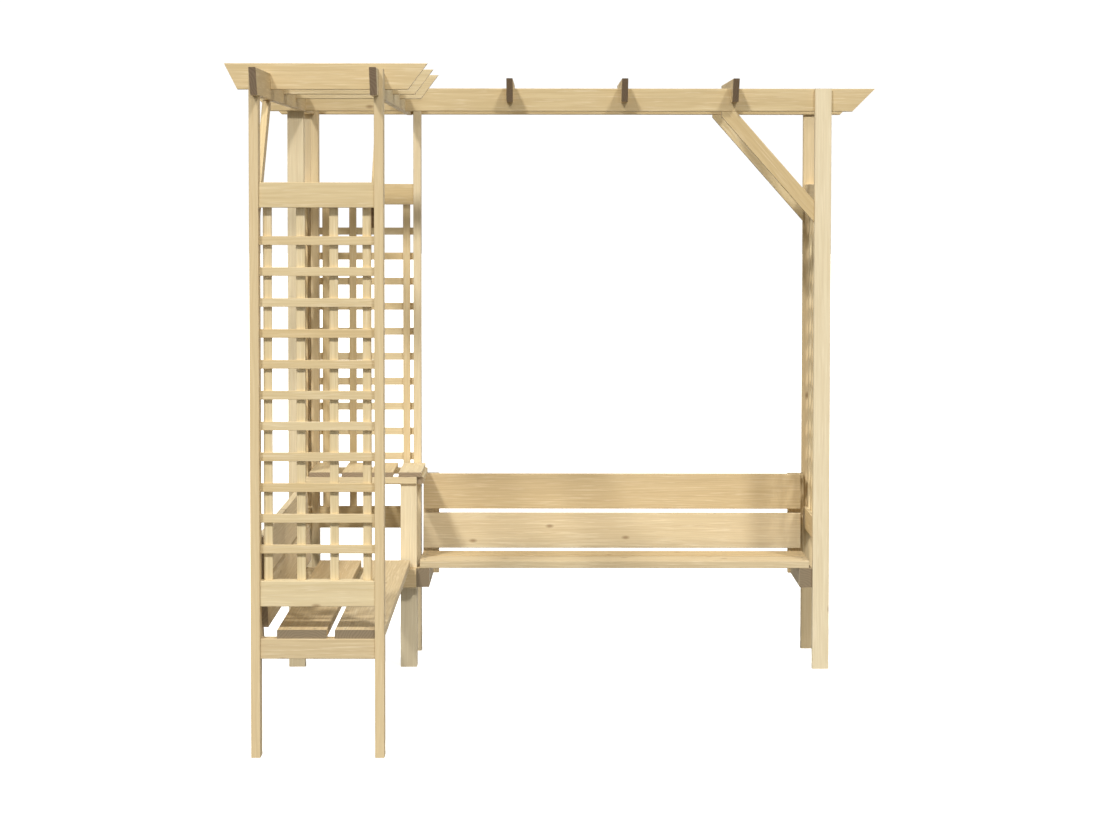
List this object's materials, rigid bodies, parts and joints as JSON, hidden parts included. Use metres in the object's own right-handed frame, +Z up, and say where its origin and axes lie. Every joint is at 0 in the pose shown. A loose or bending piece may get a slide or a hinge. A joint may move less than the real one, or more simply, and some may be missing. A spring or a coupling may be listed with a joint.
{
  "type": "corner arbour seat",
  "caption": "L-shaped timber pergola with a slatted bench along each wing, trellis panels at the ends and corner, and a small slatted table where the benches meet.",
  "frame": {"origin": "the middle of the plan's bounding box, on the ground under the posts", "axes": "+X along the back wing towards its free end, +Y from the front of the left wing to the back of the back wing, +Z up"},
  "size_m": [2.2, 2.1, 2.077],
  "materials": {
    "post_pine": "planed pressure-treated pine, pale yellow-green, matt",
    "beam_pine": "planed pressure-treated pine, pale yellow-green, matt",
    "trellis_pine": "planed pressure-treated pine laths, matt",
    "bench_pine": "planed pressure-treated pine boards with eased edges, matt",
    "table_pine": "planed pressure-treated pine slats, matt",
    "screw_zinc": "yellow-passivated zinc on countersunk screw heads, dull"
  },
  "bodies": {
    "root": {"front_end_post_left": "post_pine", "front_end_post_right": "post_pine", "right_end_post_front": "post_pine", "right_end_post_rear": "post_pine", "rear_corner_post_left": "post_pine", "rear_corner_post_right": "post_pine", "left_corner_post_front": "post_pine", "left_corner_post_rear": "post_pine", "table_leg": "post_pine", "back_wing_front_beam": "beam_pine", "back_wing_rear_beam": "beam_pine", "left_wing_outer_beam": "beam_pine", "left_wing_inner_beam": "beam_pine", "back_wing_rafter_1": "beam_pine", "back_wing_rafter_2": "beam_pine", "back_wing_rafter_3": "beam_pine", "left_wing_rafter_1": "beam_pine", "left_wing_rafter_2": "beam_pine", "left_wing_rafter_3": "beam_pine", "right_end_brace_front": "beam_pine", "right_end_brace_rear": "beam_pine", "front_end_brace_outer": "beam_pine", "front_end_brace_inner": "beam_pine", "front_end_top_rail": "trellis_pine", "front_end_bottom_rail": "trellis_pine", "front_end_lattice": "trellis_pine", "rear_corner_top_rail": "trellis_pine", "rear_corner_bottom_rail": "trellis_pine", "rear_corner_lattice": "trellis_pine", "left_corner_top_rail": "trellis_pine", "left_corner_bottom_rail": "trellis_pine", "left_corner_lattice": "trellis_pine", "right_end_top_rail": "trellis_pine", "right_end_bottom_rail": "trellis_pine", "right_end_lattice": "trellis_pine", "front_end_seat_rail": "bench_pine", "corner_bearer": "bench_pine", "back_bench_bearer_left": "bench_pine", "back_bench_bearer_right": "bench_pine", "left_bench_seat_plank_inner": "bench_pine", "left_bench_seat_plank_outer": "bench_pine", "back_bench_seat_plank_front": "bench_pine", "back_bench_seat_plank_rear": "bench_pine", "back_bench_back_plank_lower": "bench_pine", "back_bench_back_plank_upper": "bench_pine", "left_bench_back_plank_lower": "bench_pine", "left_bench_back_plank_upper": "bench_pine", "back_bench_support_left": "bench_pine", "back_bench_support_right": "bench_pine", "left_bench_support_front": "bench_pine", "left_bench_support_rear": "bench_pine", "table_front_rail": "table_pine", "table_rear_rail": "table_pine", "table_side_rail": "table_pine", "table_slat_1": "table_pine", "table_slat_2": "table_pine", "table_slat_3": "table_pine", "table_slat_4": "table_pine"}
  },
  "joints": []
}
